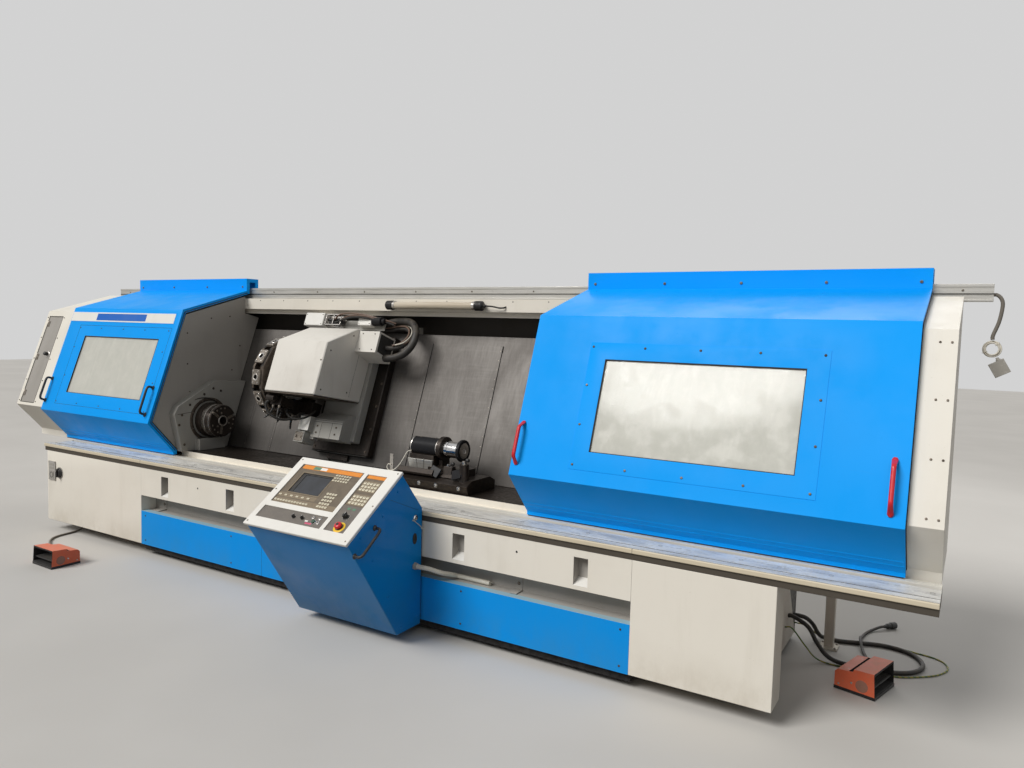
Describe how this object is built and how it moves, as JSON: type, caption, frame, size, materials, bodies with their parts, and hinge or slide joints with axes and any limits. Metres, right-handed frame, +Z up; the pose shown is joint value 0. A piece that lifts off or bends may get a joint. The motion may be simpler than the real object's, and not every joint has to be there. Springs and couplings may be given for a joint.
{
  "type": "CNC turning lathe",
  "caption": "Slant-bed CNC turning lathe with two sliding hood doors, a chuck, a turret on a carriage, a tailstock and a control console that slides along the bed front.",
  "frame": {"origin": "on the floor, under the middle of the machine's footprint without its free cords", "axes": "+X along the bed from the headstock to the tailstock, +Y from the operator to the back, +Z up"},
  "size_m": [7.3419, 2.3549, 2.12],
  "materials": {
    "blue_paint": "gloss",
    "cream_paint": "satin",
    "white_paint": "satin",
    "grey_paint": "satin",
    "dark_grey_paint": "satin",
    "black_paint": "satin",
    "worn_steel": "worn",
    "dark_steel": "worn",
    "chrome": "polished",
    "aluminium": "extruded",
    "lamp_glass": "frosted tube",
    "window_glass": "clear, dusty",
    "screen_glass": "dark screen",
    "taupe_plastic": "keypad film",
    "black_plastic": "moulded",
    "grey_plastic": "moulded",
    "red_plastic": "moulded",
    "orange_plastic": "scuffed",
    "black_rubber": "matt",
    "grey_rubber": "matt",
    "white_rubber": "matt",
    "earth_rubber": "yellow and green"
  },
  "bodies": {
    "machine": {"bed_casting": "cream_paint", "left_cabinet": "cream_paint", "right_cabinet": "cream_paint", "lower_panel": "blue_paint", "front_rail": "worn_steel", "top_rail": "aluminium", "rear_guard": "grey_paint", "work_lamp": "lamp_glass", "left_hood": "cream_paint", "right_hood": "cream_paint", "bulkhead": "dark_grey_paint", "headstock": "grey_paint", "rear_leg": "cream_paint", "left_pedal_guard": "orange_plastic", "right_pedal_guard": "orange_plastic", "left_pedal_cord": "grey_rubber", "right_pedal_cord": "black_rubber", "right_pedal_plug": "black_plastic", "supply_hose": "black_rubber", "earth_wire": "earth_rubber", "rail_conduit": "grey_rubber", "wire_coil": "white_rubber", "junction_box": "grey_plastic"},
    "left_door": {"left_door": "blue_paint", "left_window": "window_glass", "left_handle_a": "black_plastic", "left_handle_b": "black_plastic"},
    "right_door": {"right_door": "blue_paint", "right_window": "window_glass", "right_handle_a": "red_plastic", "right_handle_b": "red_plastic"},
    "hatch": {"left_hatch": "grey_paint"},
    "spindle": {"chuck": "dark_steel"},
    "jaw_1": {"jaw_1": "dark_steel"},
    "jaw_2": {"jaw_2": "dark_steel"},
    "jaw_3": {"jaw_3": "dark_steel"},
    "carriage": {"carriage": "dark_steel", "hose_bundle": "black_rubber"},
    "cover_left": {"left_slide_cover": "worn_steel"},
    "cover_right": {"right_slide_cover": "worn_steel"},
    "cross_slide": {"cross_slide": "grey_paint", "turret_housing": "white_paint"},
    "turret": {"turret_disc": "dark_steel"},
    "tailstock": {"tailstock_body": "dark_steel", "tailstock_barrel": "black_paint"},
    "quill": {"tailstock_quill": "chrome"},
    "console": {"console_body": "blue_paint", "console_frame": "white_paint", "control_plate": "taupe_plastic", "console_screen": "screen_glass", "console_handle": "black_plastic", "console_conduit": "white_rubber"},
    "emergency_stop": {"emergency_stop": "red_plastic"},
    "override_knob": {"override_knob": "black_plastic"},
    "mode_knob_a": {"mode_knob_a": "black_plastic"},
    "mode_knob_b": {"mode_knob_b": "black_plastic"},
    "start_button": {"start_button": "red_plastic"},
    "main_switch": {"main_switch": "black_plastic"},
    "left_treadle": {"left_pedal_treadle": "black_plastic"},
    "right_treadle": {"right_pedal_treadle": "black_plastic"}
  },
  "joints": [
    {"name": "left_door_slide", "type": "slide", "parent": "machine", "child": "left_door", "axis": [1, 0, 0], "range_m": [0, 1.24]},
    {"name": "right_door_slide", "type": "slide", "parent": "machine", "child": "right_door", "axis": [1, 0, 0], "range_m": [-1.88, 0]},
    {"name": "hatch_hinge", "type": "hinge", "parent": "machine", "child": "hatch", "pos_m": [-3.5787, 0.10168, 1.80609], "axis": [0, -0.3338, -0.9426], "range_deg": [0, 90]},
    {"name": "spindle_spin", "type": "hinge", "parent": "machine", "child": "spindle", "pos_m": [-1.569, 0.25601, 0.98], "axis": [1, 0, 0], "continuous": true},
    {"name": "jaw_1_slide", "type": "slide", "parent": "spindle", "child": "jaw_1", "axis": [0, -0.766, 0.6428], "range_m": [-0.005, 0.005]},
    {"name": "jaw_2_slide", "type": "slide", "parent": "spindle", "child": "jaw_2", "axis": [0, -0.1736, -0.9848], "range_m": [-0.005, 0.005]},
    {"name": "jaw_3_slide", "type": "slide", "parent": "spindle", "child": "jaw_3", "axis": [0, 0.9397, 0.342], "range_m": [-0.005, 0.005]},
    {"name": "carriage_slide", "type": "slide", "parent": "machine", "child": "carriage", "axis": [1, 0, 0], "range_m": [-0.45, 0.5]},
    {"name": "cover_left_slide", "type": "slide", "parent": "machine", "child": "cover_left", "axis": [1, 0, 0], "range_m": [-0.225, 0.25]},
    {"name": "cover_right_slide", "type": "slide", "parent": "machine", "child": "cover_right", "axis": [1, 0, 0], "range_m": [-0.225, 0.25]},
    {"name": "cross_slide_slide", "type": "slide", "parent": "carriage", "child": "cross_slide", "axis": [0, 0.3338, 0.9426], "range_m": [-0.06, 0.07]},
    {"name": "turret_index", "type": "hinge", "parent": "cross_slide", "child": "turret", "pos_m": [-0.779, 0.29606, 1.34772], "axis": [1, 0, 0], "continuous": true},
    {"name": "tailstock_slide", "type": "slide", "parent": "machine", "child": "tailstock", "axis": [1, 0, 0], "range_m": [0, 1.2]},
    {"name": "quill_slide", "type": "slide", "parent": "tailstock", "child": "quill", "axis": [1, 0, 0], "range_m": [-0.08, 0]},
    {"name": "console_slide", "type": "slide", "parent": "machine", "child": "console", "axis": [1, 0, 0], "range_m": [-1, 0.85]},
    {"name": "emergency_stop_press", "type": "slide", "parent": "console", "child": "emergency_stop", "axis": [0, 0.5736, -0.8192], "range_m": [0, 0.005]},
    {"name": "override_turn", "type": "hinge", "parent": "console", "child": "override_knob", "pos_m": [0.803, -0.7768, 0.75391], "axis": [0, -0.5736, 0.8192], "range_deg": [-135, 135]},
    {"name": "mode_a_turn", "type": "hinge", "parent": "console", "child": "mode_knob_a", "pos_m": [0.478, -0.82922, 0.7172], "axis": [0, -0.5736, 0.8192], "range_deg": [-60, 60]},
    {"name": "mode_b_turn", "type": "hinge", "parent": "console", "child": "mode_knob_b", "pos_m": [0.541, -0.82758, 0.71835], "axis": [0, -0.5736, 0.8192], "range_deg": [-60, 60]},
    {"name": "start_press", "type": "slide", "parent": "console", "child": "start_button", "axis": [0, 0.5736, -0.8192], "range_m": [0, 0.004], "stiffness_N_per_m": 200, "springref_m": -0.004},
    {"name": "main_switch_turn", "type": "hinge", "parent": "machine", "child": "main_switch", "pos_m": [-2.787, -0.28399, 0.488], "axis": [0, 1, 0], "range_deg": [0, 90]},
    {"name": "left_treadle_press", "type": "hinge", "parent": "machine", "child": "left_treadle", "pos_m": [-1.97874, -0.74149, 0.054], "axis": [0.9998, -0.0175, 0], "range_deg": [0, 8], "stiffness_Nm_per_rad": 2, "springref_deg": -20.05},
    {"name": "right_treadle_press", "type": "hinge", "parent": "machine", "child": "right_treadle", "pos_m": [3.16551, 0.45189, 0.054], "axis": [0.2588, 0.9659, 0], "range_deg": [0, 8], "stiffness_Nm_per_rad": 2, "springref_deg": -20.05}
  ],
  "couplings": [
    {"joint": "jaw_2_slide", "follows": "jaw_1_slide", "ratio": 1},
    {"joint": "jaw_3_slide", "follows": "jaw_1_slide", "ratio": 1},
    {"joint": "cover_left_slide", "follows": "carriage_slide", "ratio": 0.5},
    {"joint": "cover_right_slide", "follows": "carriage_slide", "ratio": 0.5}
  ]
}
